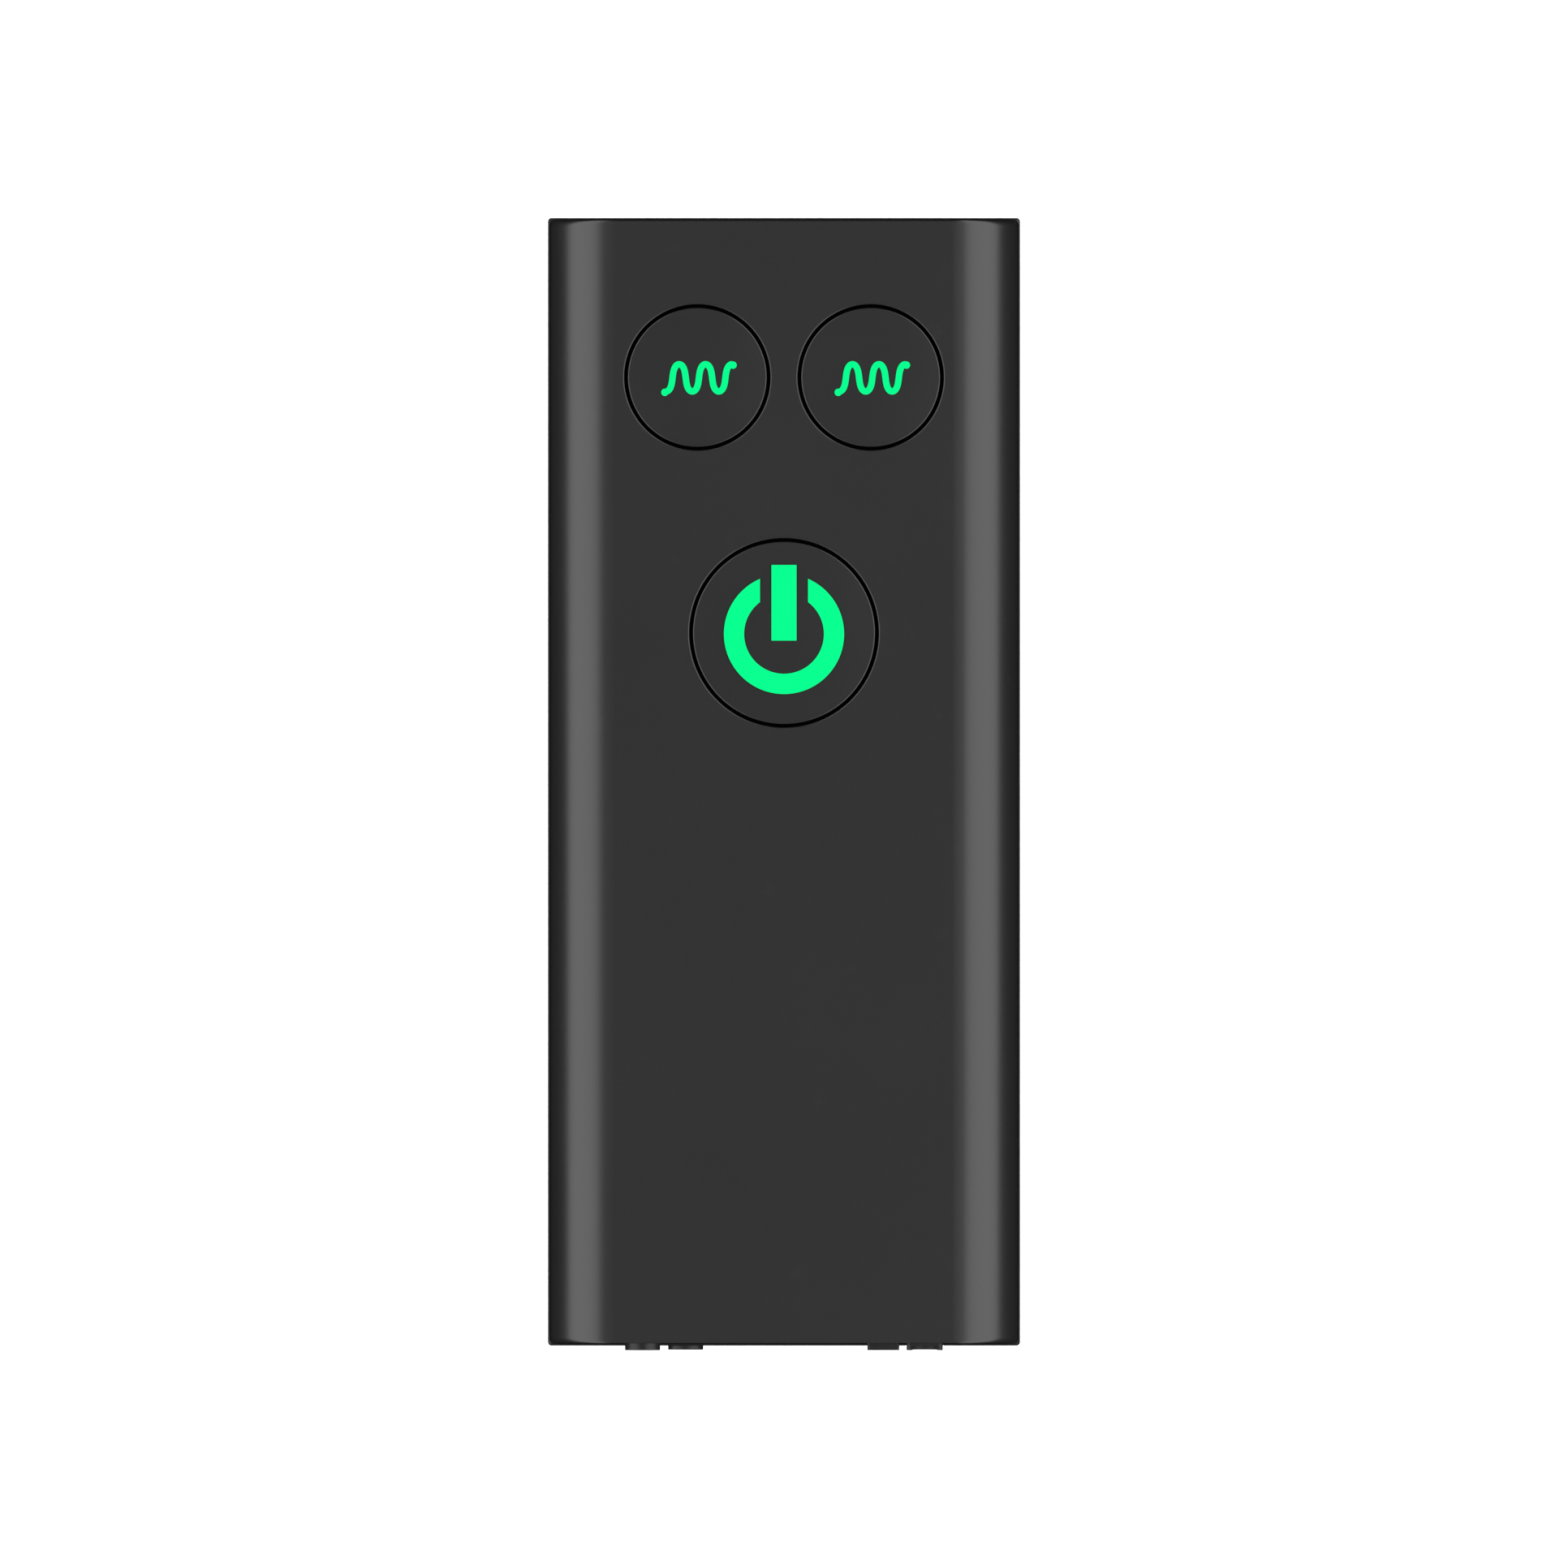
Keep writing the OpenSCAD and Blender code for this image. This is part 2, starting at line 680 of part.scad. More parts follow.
module battery_tape() {
    color([0.25, 0.25, 0.27]) block([-cell_w / 2 + 5, -cell_l / 2 + 6, floor_z],
                                    [cell_w / 2 - 5, cell_l / 2 - 6, cell_z]);
}

// A round wire swept along its route: a ring of points round each route point.
function heading(i) = i == 0 || i == last ? [1, 0] : lead_route[i + 1] - lead_route[i - 1];
function unit(v) = v / norm(v);
function ring_point(x, i, k) = let (h = unit(heading(i)), a = 360 * k / sides)
    [x, lead_route[i][0], lead_route[i][1]] + lead_r * [cos(a), -h[1] * sin(a), h[0] * sin(a)];

module lead(x) {
    polyhedron(
        points = [for (i = [0 : last], k = [0 : sides - 1]) ring_point(x, i, k)],
        faces = concat(
            [[for (k = [0 : sides - 1]) k]],
            [for (i = [0 : last - 1], k = [0 : sides - 1])
                let (a = i * sides, b = a + sides, n = (k + 1) % sides) [a + k, b + k, b + n, a + n]],
            [[for (k = [sides - 1 : -1 : 0]) last * sides + k]]));
}

module battery_lead_red() { color("red") lead(lead_x); }
module battery_lead_black() { color(socket_black) lead(-lead_x); }

module battery_plug() {
    color("ivory") block([-2.6, plug_y, 8.5], [2.6, lead_route[0][0], 10.7]);
}

module battery_socket() {
    color("ivory") difference() {
        block([-3.4, plug_y - 3.4, 8], [3.4, plug_y + 2, board_z]);
        block([-2.7, plug_y - 0.1, 8.4], [2.7, plug_y + 3, 10.8]);
    }
}

front_shell();
rear_shell();
foot_strips();
case_screws();
main_board();
board_screws();
left_cap();
right_cap();
power_cap();
left_light_guide();
right_light_guide();
power_light_guide();
left_return_pad();
right_return_pad();
power_return_pad();
left_switch_body();
right_switch_body();
power_switch_body();
switch_covers();
left_plunger();
right_plunger();
power_plunger();
icon_lamps();
headphone_socket();
headphone_contacts();
line_socket();
line_contacts();
usb_shell();
usb_tongue();
usb_contacts();
usb_bezel();
slide_switch_body();
slide_switch_terminals();
slide_lever();
slide_knob();
radio_board();
radio_chip();
radio_shield();
chip_antenna();
converter_chip();
amplifier_chip();
charger_chip();
crystal();
power_inductor();
output_capacitors();
capacitor_bases();
chip_parts();
battery_cell();
battery_guard();
battery_tape();
battery_lead_red();
battery_lead_black();
battery_plug();
battery_socket();
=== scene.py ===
"""Looks of the bluetooth audio receiver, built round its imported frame.

X runs across the case, Y along it to the plain end, Z up out of the front face. Shapes are worked out in
millimetres and put into metres when they are finished; lights and the camera are in metres.
"""
import math

import bpy
import numpy as np
from mathutils import Matrix, Vector


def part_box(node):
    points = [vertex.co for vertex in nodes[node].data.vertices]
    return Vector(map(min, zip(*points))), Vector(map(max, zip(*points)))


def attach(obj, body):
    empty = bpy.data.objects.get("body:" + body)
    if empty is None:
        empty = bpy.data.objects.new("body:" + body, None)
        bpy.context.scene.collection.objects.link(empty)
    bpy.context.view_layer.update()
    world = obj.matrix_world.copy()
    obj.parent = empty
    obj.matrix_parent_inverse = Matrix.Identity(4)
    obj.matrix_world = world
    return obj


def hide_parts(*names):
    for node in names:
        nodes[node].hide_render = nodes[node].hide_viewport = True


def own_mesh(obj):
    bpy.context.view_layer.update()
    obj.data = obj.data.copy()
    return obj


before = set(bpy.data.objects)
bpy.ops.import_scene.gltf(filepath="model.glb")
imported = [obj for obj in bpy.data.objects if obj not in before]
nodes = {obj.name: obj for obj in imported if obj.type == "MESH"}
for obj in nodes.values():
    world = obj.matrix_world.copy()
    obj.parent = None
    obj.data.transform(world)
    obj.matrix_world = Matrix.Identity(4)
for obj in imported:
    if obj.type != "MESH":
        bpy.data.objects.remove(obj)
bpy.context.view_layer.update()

MM = 0.001
RIGHT_ANGLE = math.pi / 2
# The smallest half size or radius of a ring, so that no ring crosses itself.
SHARP = 0.004

# ---------------------------------------------------------------- sizes that the shapes start from, in mm


def box(part):
    """Lowest and highest corners of a CAD part in millimetres."""
    low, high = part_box(part)
    return np.array(low) / MM, np.array(high) / MM


def middle(part):
    """The middle of a part's box."""
    return sum(box(part)) / 2


def half(part):
    """Half the size of a part's box."""
    low, high = box(part)
    return (high - low) / 2


front_high = box("front_shell")[1]
rear_low, rear_high = box("rear_shell")
foot_high = box("foot_strips")[1]
knob_low, knob_high = box("slide_knob")
lever_at = middle("slide_lever")

# How far cutting tools stand out of the faces that they cut, and how deep they go into an end wall.
CLEAR = 2
END_DEEP = 5
# Heights of the front face, of the rim above the plane where the shells meet, and of that plane; how far out
# along -Y the noses end.
FACE_Z = front_high[2]
RIM_RISE = 0.5
PART_Z = rear_high[2] - RIM_RISE
END_Y = -box("usb_bezel")[0][1]

# Both shells: radius of the long edges, wall thicknesses, small radii of corners and edges.
EDGE_R = 9.4
FRONT_WALL = 2
REAR_WALL = 2.2
FRONT_CORNER = 0.9
FRONT_END_R = 0.2
REAR_CORNER = 0.5
HOLE_EDGE = 0.2
BEZEL_EDGE = 0.12
FIT = 0.1
# The rear shell's rim: its width, the height over which it leans in, and the flat left on its top.
RIM_W = 0.21
RIM_H = 1.1
RIM_FLAT = 0.01

# Rubber feet: half width and half length, and the distance of each from the middle.
FOOT = (foot_high[0], 3.5)
FOOT_Y = foot_high[1] - FOOT[1]
FOOT_EDGE = 0.4

# Buttons: the flange below a cap, the groove round it, its plate, wall, edge and crown, and how far the mark
# stands out of it.
BUTTONS = ("left", "right", "power")
FLANGE_W = 1.4
FLANGE_H = 1
GAP = 0.5
CAP_PLATE = 1.4
CAP_WALL = 1.2
CAP_EDGE = 0.2
CROWN = 0.38
MARK_PROUD = 0.02
cap_r = {b: half(b + "_cap")[0] - FLANGE_W for b in BUTTONS}
cap_at = {b: middle(b + "_cap") for b in BUTTONS}
# A pressed button shortens its 7.7 mm pad by 0.6 mm.
# A return pad's section, as insets from the cap's wall: its foot ring and the half width of its head ring,
# both with their heights; where its web starts, how far it leans, its thickness and its swing.
PAD_FOOT = (3, 0.6)
PAD_FOOT_H = 0.8
PAD_HEAD = 0.9
PAD_HEAD_H = 1
WEB_START = 1.2
WEB_LEAN = 1.6
WEB_T = 0.9
WEB_SWING = 0.25

# Audio sockets: 1 has its nose in the front shell, -1 in the rear shell. Then sizes of nose, bore and block.
JACKS = {"headphone": 1, "line": -1}
JACK_IN = 3.4
NOSE_R = 2.5
NOSE_L = 3.2
NOSE_LIP = 0.07
BORE_R = 1.8
BORE_L = 14
COUNTERSINK = 0.25
BLOCK_CORNER = 0.4
BLOCK_EDGE = 0.3
# Windows for the contacts, on both sides of the block.
WINDOW_Y = (-75, -71.8, -68.6)
WINDOW_X = 3
WINDOW_HALF = (0.6, 0.8, 4)

# The charging socket's collar: half sizes of its neck, slot and flange, corner radii, lip and notch.
BEZEL = (2.565, 5.45)
BEZEL_CORNER = 0.6
BEZEL_SLOT = (1.73, 4.57)
BEZEL_FLANGE = (3.2, 6.6)
BEZEL_FLANGE_CORNER = 0.8
BEZEL_FLANGE_L = 0.8
BEZEL_LIP = 0.07
BEZEL_SINK = 0.15
NOTCH_Z = (3, 9)
NOTCH_Y = -80.05

# The slider: half sizes of its end, its back edge and plate behind the wall, its slot's travel and play, its
# finger grooves and the slot for the lever.
KNOB = (2.275, 1.5)
KNOB_CORNER = 0.35
KNOB_BACK = 0.4
KNOB_LIP = 0.08
SLOT_CORNER = 0.4
SLOT_TRAVEL = 2.5
SLOT_PLAY = 0.25
PLATE_CORNER = 0.3
PLATE_Y = (0.9, 0.2)
GROOVE_R = 0.26
GROOVE_PITCH = 0.9
GROOVE_OUT = 0.1
GROOVE_HALF = 1.05
LEVER_HALF = (0.75, 0.5)
LEVER_Y = (-78.6, -74)
knob_at = (lever_at[0], lever_at[2])


# ---------------------------------------------------------------- surfaces

SIDE_A = np.array([1, -1, -1, 1]).reshape(1, 4, 1)
SIDE_B = np.array([1, 1, -1, -1]).reshape(1, 4, 1)


def outline(half_a, half_b, corner, steps=10):
    """Rings of rounded rectangles, one for each size given, as an array of rings x points x 2.

    Corner k of a ring turns from k to k + 1 right angles on a circle whose centre lies its radius inside the
    rectangle's sides. A circle is a square whose corners are as large as its half side.
    """
    sizes = np.broadcast_arrays(*(np.atleast_1d(np.asarray(v, float)) for v in (half_a, half_b, corner)))
    ha, hb, r = (np.maximum(v, SHARP).reshape(-1, 1, 1) for v in sizes)
    turn = np.arange(4).reshape(1, 4, 1) * RIGHT_ANGLE + np.linspace(0, RIGHT_ANGLE, steps + 1)
    a = SIDE_A * (ha - r) + r * np.cos(turn)
    b = SIDE_B * (hb - r) + r * np.sin(turn)
    return np.stack([a, b], -1).reshape(len(ha), -1, 2)


def bend(inset, height, radius, start, end, count=7):
    """Stations round a quarter edge, (inset - r cos t, height + r sin t), for t from start to end degrees."""
    t = np.radians(np.linspace(start, end, count))
    return np.stack([inset - radius * np.cos(t), height + radius * np.sin(t)], -1)


def stations(*parts):
    """Single (inset, height) pairs and bends, joined into one list of stations."""
    return np.concatenate([np.asarray(p, float).reshape(-1, 2) for p in parts])


def rings_up(flat, heights, at=(0, 0, 0), end_on=False):
    """Lifts flat rings to their heights: up Z, or for end_on out along -Y with a ring's second axis up Z."""
    h = np.broadcast_to(np.asarray(heights, float).reshape(-1, 1), flat.shape[:2])
    a, b = flat[..., 0], flat[..., 1]
    return np.stack([a, -h, b] if end_on else [a, b, h], -1) + np.asarray(at, float)


def grid_faces(count, around, closed):
    """Quads between neighbouring rings, and between the last ring and the first if closed."""
    k = np.arange(count if closed else count - 1)[:, None]
    j = np.arange(around)[None, :]
    after, turn = (k + 1) % count, (j + 1) % around
    quads = np.stack([k * around + j, k * around + turn, after * around + turn, after * around + j], -1)
    return quads.reshape(-1, 4).tolist()


def loft(name, *shells, closed=False):
    """A mesh of one or more shells, each an array of rings x points x 3.

    The first and last rings get flat lids, unless closed joins them into a tube.
    """
    points, faces, base = [], [], 0
    for rings in shells:
        count, around = rings.shape[:2]
        here = grid_faces(count, around, closed)
        if not closed:
            here += [list(range(around))[::-1], list(range((count - 1) * around, count * around))]
        faces += [[base + i for i in f] for f in here]
        points.append(rings.reshape(-1, 3))
        base += count * around
    mesh = bpy.data.meshes.new(name)
    mesh.from_pydata(np.concatenate(points).tolist(), [], faces)
    mesh.validate()
    made = bpy.data.objects.new(name, mesh)
    bpy.context.scene.collection.objects.link(made)
    return made


def inset_rings(half_a, half_b, corner, path, at=(0, 0, 0), end_on=False, steps=10):
    """Rings of one outline along a path of (inset, height) stations: ring k is moved in by inset k."""
    d = path[:, 0]
    return rings_up(outline(half_a - d, half_b - d, corner - d, steps), path[:, 1], at, end_on)


def stack(name, half_a, half_b, corner, path, at=(0, 0, 0), end_on=False, steps=10, closed=False):
    """A mesh of one outline carried along a path of (inset, height) stations."""
    return loft(name, inset_rings(half_a, half_b, corner, path, at, end_on, steps), closed=closed)


def turned(name, radius, path, at=(0, 0, 0), end_on=False, steps=24, closed=False):
    """A path of (inset, height) stations turned round an axis, with insets measured in from radius."""
    return stack(name, radius, radius, radius, path, at, end_on, steps, closed)


def settle(thing):
    """Applies an object's modifiers and keeps the result as its mesh."""
    bpy.context.view_layer.update()
    graph = bpy.context.evaluated_depsgraph_get()
    old = thing.data
    thing.data = bpy.data.meshes.new_from_object(thing.evaluated_get(graph))
    thing.modifiers.clear()
    bpy.data.meshes.remove(old)
    return thing


def cut(thing, *tools, operation="DIFFERENCE"):
    """Takes the tools away from a solid, or adds them to it for UNION, and then removes them."""
    for tool in tools:
        step = thing.modifiers.new("cut", "BOOLEAN")
        step.operation = operation
        step.solver = "EXACT"
        step.use_hole_tolerant = True
        step.object = tool
        settle(thing)
        bpy.data.objects.remove(tool)
    return thing


def smooth(thing, crease=35):
    """Smooth shading with creases above an angle, and normals that lean to the larger faces."""
    mesh = thing.data
    mesh.polygons.foreach_set("use_smooth", np.ones(len(mesh.polygons), bool))
    mesh.set_sharp_from_angle(angle=math.radians(crease))
    weigh = thing.modifiers.new("weigh", "WEIGHTED_NORMAL")
    weigh.keep_sharp = True
    weigh.weight = 100
    return settle(thing)


def copy_of(part):
    """A merged copy of a CAD part in millimetres, for use as a tool."""
    made = bpy.data.objects.new(part + "_tool", nodes[part].data.copy())
    made.data.transform(Matrix.Scale(1 / MM, 4))
    bpy.context.scene.collection.objects.link(made)
    weld = made.modifiers.new("weld", "WELD")
    weld.merge_threshold = 0.001
    return settle(made)


# ---------------------------------------------------------------- finishes


def linear(hex_colour):
    """An sRGB hex colour as linear RGBA."""
    c = np.array([int(hex_colour[i:i + 2], 16) for i in (1, 3, 5)]) / 255
    c = np.where(c <= 0.04045, c / 12.92, ((c + 0.055) / 1.055) ** 2.4)
    return (*(float(v) for v in c), 1.0)


def node(tree, kind, sockets=None, **settings):
    """Adds a node with its settings; a socket takes a value, or another node's output as a link."""
    made = tree.nodes.new("ShaderNode" + kind)
    for key, value in settings.items():
        setattr(made, key, value)
    for key, value in (sockets or {}).items():
        if isinstance(value, bpy.types.NodeSocket):
            tree.links.new(value, made.inputs[key])
        else:
            made.inputs[key].default_value = value
    return made


def finish(name, dark, light, patch, rough, grain, depth, stretch=(1, 1, 1), cells=False, extra=None,
           **shader):
    """A material from real sizes in millimetres.

    Patches of the given size drift between the dark and light colours and between the two roughness values.
    The grain is noise, or cells, of the given size, raised by depth; stretch draws both out along an axis.
    """
    made = bpy.data.materials.new(name)
    made.use_nodes = True
    tree = made.node_tree
    tree.nodes.clear()
    place = node(tree, "TexCoord")
    drawn = node(tree, "Mapping", {"Vector": place.outputs["Object"], "Scale": stretch})
    where = drawn.outputs["Vector"]
    patches = node(tree, "TexNoise", {"Vector": where, "Scale": 1 / (patch * MM), "Detail": 4.0,
                                      "Roughness": 0.6})
    colour = node(tree, "Mix", {"Factor": patches.outputs["Fac"], 6: linear(dark), 7: linear(light)},
                  data_type="RGBA")
    spread = node(tree, "MapRange", {"Value": patches.outputs["Fac"], "From Min": 0.3, "From Max": 0.7,
                                     "To Min": rough[0], "To Max": rough[1]})
    if cells:
        pores = node(tree, "TexVoronoi", {"Vector": where, "Scale": 1 / (grain * MM)})
        relief = pores.outputs["Distance"]
    else:
        grains = node(tree, "TexNoise", {"Vector": where, "Scale": 1 / (grain * MM), "Detail": 3.0})
        relief = grains.outputs["Fac"]
    raised = node(tree, "Bump", {"Height": relief, "Strength": 1.0, "Distance": depth * MM})
    base = extra(tree, place.outputs["Object"], colour.outputs[2]) if extra else colour.outputs[2]
    skin = node(tree, "BsdfPrincipled", {"Base Color": base, "Roughness": spread.outputs["Result"],
                                         "Normal": raised.outputs["Normal"], **shader})
    node(tree, "OutputMaterial", {"Surface": skin.outputs["BSDF"]})
    return made


def tracks(tree, where, mask):
    """Copper tracks under the solder mask: thin bands bent by noise, a shade lighter than the mask."""
    bands = node(tree, "TexWave", {"Vector": where, "Scale": 1 / (9 * MM), "Distortion": 14.0,
                                   "Detail": 1.0, "Detail Scale": 0.6})
    edge = node(tree, "MapRange", {"Value": bands.outputs["Fac"], "From Min": 0.62, "From Max": 0.68})
    copper = node(tree, "Mix", {"Factor": edge.outputs["Result"], 6: mask, 7: linear("#1F6A43")},
                  data_type="RGBA")
    return copper.outputs[2]


def wear(tree, where, tone):
    """Handling marks: sparse faint scuffs, 6 mm apart, that lift the colour by a few hundredths."""
    scuff = node(tree, "TexNoise", {"Vector": where, "Scale": 1 / (6 * MM), "Detail": 8.0, "Roughness": 0.7})
    seldom = node(tree, "MapRange", {"Value": scuff.outputs["Fac"], "From Min": 0.62, "From Max": 0.8,
                                     "To Max": 0.04})
    pale = node(tree, "Mix", {"Factor": seldom.outputs["Result"], 6: tone, 7: linear("#6E6E70")},
                data_type="RGBA")
    return pale.outputs[2]


# Moulded ABS with a fine spark-eroded texture: an even charcoal that spreads highlights into soft bands.
moulded_abs = finish("moulded_abs", "#1C1C1C", "#1E1E1E", 30, (0.32, 0.34), 0.25, 0.0015, extra=wear,
                     **{"IOR": 1.53, "Specular IOR Level": 0.5})
# The caps are the same ABS from a slightly more polished tool: the same charcoal, a touch smoother.
cap_abs = finish("cap_abs", "#1C1C1C", "#1E1E1E", 20, (0.31, 0.33), 0.25, 0.001, **{"IOR": 1.53})
# Clear acrylic tinted green and lit from behind: it glows evenly, so no shading shows on it.
lit_acrylic = finish("lit_acrylic", "#002010", "#002412", 4, (0.30, 0.36), 0.4, 0.0005,
                     **{"IOR": 1.49, "Specular IOR Level": 0.1, "Emission Color": linear("#00FF8E"),
                        "Emission Strength": 1.0})
# Glass-filled nylon: black, slightly milky at grazing angles, with the fine tooth that the fibres leave.
black_nylon = finish("black_nylon", "#111112", "#171718", 3, (0.42, 0.55), 0.12, 0.003, **{"IOR": 1.53})
# Moulded rubber of the feet: matt, faintly dusty black.
foot_rubber = finish("foot_rubber", "#131313", "#1C1B1A", 5, (0.70, 0.85), 0.2, 0.006, **{"IOR": 1.52})
# Translucent silicone of the return pads: a soft grey that lets light into its edges.
pad_silicone = finish("pad_silicone", "#8A8C90", "#9B9DA1", 4, (0.45, 0.55), 0.3, 0.003,
                      **{"IOR": 1.41, "Subsurface Weight": 0.3, "Subsurface Scale": 0.8 * MM})
# Nickel-plated pressed steel: bright, with fine rolling lines along Y.
nickel_steel = finish("nickel_steel", "#B4B2AC", "#C6C4BE", 6, (0.22, 0.34), 0.08, 0.0008,
                      stretch=(1, 0.06, 1), **{"Metallic": 1.0})
# Screws of zinc-plated steel: a greyer metal with a slightly mottled plating.
zinc_steel = finish("zinc_steel", "#8E9092", "#A3A4A3", 1.5, (0.32, 0.48), 0.15, 0.002, **{"Metallic": 1.0})
# Gold flash over nickel on the contacts: warm, bright and slightly wiped by use.
gold_flash = finish("gold_flash", "#C99A3E", "#E2BC66", 0.8, (0.18, 0.30), 0.1, 0.0006, **{"Metallic": 1.0})
# Glass-fibre laminate under green solder mask: glossy lacquer over copper tracks and a faint weave.
masked_laminate = finish("masked_laminate", "#0C3B24", "#11452B", 8, (0.28, 0.38), 0.5, 0.004, extra=tracks,
                         **{"IOR": 1.5, "Coat Weight": 0.3, "Coat Roughness": 0.2})
# Moulded epoxy of the chips: flat near-black with a fine blasted surface.
chip_epoxy = finish("chip_epoxy", "#151517", "#1D1D20", 1.5, (0.55, 0.68), 0.08, 0.003, **{"IOR": 1.55})
# White reflector housing of the lamps: a clean diffuse white resin.
lamp_resin = finish("lamp_resin", "#DEDDD8", "#EDECE8", 1, (0.35, 0.45), 0.1, 0.001, **{"IOR": 1.5})
# Sintered ferrite: dark slate with a dry, granular surface.
sintered_ferrite = finish("sintered_ferrite", "#2A2A2D", "#3B3B3E", 0.4, (0.65, 0.8), 0.1, 0.008, cells=True)
# Drawn aluminium of the capacitors' cans: satin metal with drawing lines up the can.
drawn_aluminium = finish("drawn_aluminium", "#B8BABC", "#CCCDCE", 3, (0.25, 0.38), 0.08, 0.001,
                         stretch=(1, 1, 0.05), **{"Metallic": 1.0})
# Fired ceramic of the chip parts: tan to grey-brown, matt.
fired_ceramic = finish("fired_ceramic", "#8D7A60", "#A8957A", 0.5, (0.5, 0.65), 0.08, 0.002, **{"IOR": 1.6})
# Laminated foil of the pouch cell: silver with shallow press wrinkles about 5 mm apart.
pouch_foil = finish("pouch_foil", "#A9ABAD", "#BBBDBF", 12, (0.30, 0.45), 5, 0.12, **{"Metallic": 0.9})
# Black foam tape: open cells 0.5 mm wide that swallow light.
foam_tape = finish("foam_tape", "#18181A", "#262628", 2, (0.85, 0.95), 0.5, 0.08, cells=True, **{"IOR": 1.4})
# Amber film over the cell's guard board.
amber_film = finish("amber_film", "#8F5A12", "#A76C1B", 3, (0.22, 0.32), 1.2, 0.01, **{"IOR": 1.6})
# PVC insulation of the two leads: slightly glossy colours with the faint ripple of the strands beneath.
red_pvc = finish("red_pvc", "#A81616", "#BD2420", 1, (0.35, 0.45), 0.4, 0.01, **{"IOR": 1.54})
black_pvc = finish("black_pvc", "#121213", "#1C1C1D", 1, (0.35, 0.45), 0.4, 0.01, **{"IOR": 1.54})
# Natural nylon of the battery connector: a warm translucent white.
natural_nylon = finish("natural_nylon", "#D9D3C2", "#E6E1D3", 2, (0.4, 0.5), 0.2, 0.002,
                       **{"IOR": 1.53, "Subsurface Weight": 0.2, "Subsurface Scale": 0.6 * MM})

CAD_FINISHES = {
    lit_acrylic: ["left_light_guide", "right_light_guide", "power_light_guide"],
    black_nylon: ["left_switch_body", "right_switch_body", "power_switch_body", "left_plunger",
                  "right_plunger", "power_plunger", "slide_lever", "usb_tongue", "capacitor_bases"],
    nickel_steel: ["switch_covers", "usb_shell", "slide_switch_body", "radio_shield", "crystal"],
    zinc_steel: ["case_screws", "board_screws"],
    gold_flash: ["headphone_contacts", "line_contacts", "usb_contacts", "slide_switch_terminals"],
    masked_laminate: ["main_board", "radio_board"],
    chip_epoxy: ["radio_chip", "converter_chip", "amplifier_chip", "charger_chip"],
    lamp_resin: ["icon_lamps"],
    sintered_ferrite: ["power_inductor"],
    drawn_aluminium: ["output_capacitors"],
    fired_ceramic: ["chip_antenna", "chip_parts"],
    pouch_foil: ["battery_cell"],
    amber_film: ["battery_guard"],
    foam_tape: ["battery_tape"],
    red_pvc: ["battery_lead_red"],
    black_pvc: ["battery_lead_black"],
    natural_nylon: ["battery_plug", "battery_socket"],
}


def wear_finish(thing, material):
    """Gives an object one material."""
    thing.data.materials.clear()
    thing.data.materials.append(material)
    return thing


for material, names in CAD_FINISHES.items():
    for name in names:
        wear_finish(nodes[name], material)


def piece(thing, body, slot, material, *replaced):
    """Puts a smoothed piece into metres, gives it its finish, and lets it stand for its CAD parts."""
    wear_finish(thing, material)
    thing.data.transform(Matrix.Scale(MM, 4))
    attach(thing, body)
    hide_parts(*replaced)
    return thing


# ---------------------------------------------------------------- the two shells


def slab(name, half_w, half_l, open_z, flat_z, r, side_r=0.3, end_r=0.0, lean=0.0):
    """Half a case as plan rings that rise from one Z to the other, its long edges rounded towards flat_z.

    While t goes from 0 to a right angle, a ring is narrowed by r (1 - cos t) at a height r (1 - sin t) short
    of flat_z. Within end_r of flat_z it is also shortened, by a quarter circle. Its plan corners shrink from
    side_r to end_r. Over the last RIM_H before open_z the walls lean in by a quarter ellipse,
    lean (1 - cos u) wide.
    """
    t = np.linspace(0, RIGHT_ANGLE, 37)
    short = r * (1 - np.sin(t))
    over = np.clip(end_r - short, 0, None)
    along = end_r - np.sqrt(np.clip(end_r ** 2 - over ** 2, 0, None))
    corner = side_r + (end_r - side_r) * (t / RIGHT_ANGLE) ** 2
    up = np.sign(flat_z - open_z)
    u = np.linspace(RIGHT_ANGLE, 0, 9) if lean else np.zeros(1)
    lip = lean * (1 - np.cos(u))
    lip_z = open_z + up * (RIM_H * (1 - np.sin(u)) if lean else 0 * u)
    narrow = np.concatenate([lip, r * (1 - np.cos(t))])
    short_y = np.concatenate([lip, along])
    z = np.concatenate([lip_z, flat_z - up * short])
    corners = np.concatenate([side_r - lip, corner])
    rings = rings_up(outline(half_w - narrow, half_l - short_y, corners, 8), z)
    return loft(name, rings if up > 0 else rings[::-1])


def block(name, low, high):
    """A plain box, used as a cutting tool."""
    low, high = np.array(low, float), np.array(high, float)
    c, h = (low + high) / 2, (high - low) / 2
    path = stations((0, low[2]), (0, high[2]))
    return stack(name, h[0], h[1], SHARP, path, at=(c[0], c[1], 0), steps=4)


def hole_tool(button):
    """A round tool that flares at the face, so that the hole's rim comes out rounded by HOLE_EDGE."""
    at = cap_at[button]
    flare = bend(-HOLE_EDGE, FACE_Z - HOLE_EDGE, HOLE_EDGE, 180, 96)
    path = stations((0, FACE_Z - FRONT_WALL - CLEAR), flare, (flare[-1, 0], FACE_Z + CLEAR))
    return turned(button + "_hole", cap_r[button] + GAP, path, at=(at[0], at[1], 0), steps=32)


def jack_axis(name):
    """The axis of an audio socket's bore, as (x, z)."""
    low, high = box(name + "_socket")
    return (low[0] + high[0]) / 2, (low[2] + JACK_IN if JACKS[name] > 0 else high[2] - JACK_IN)


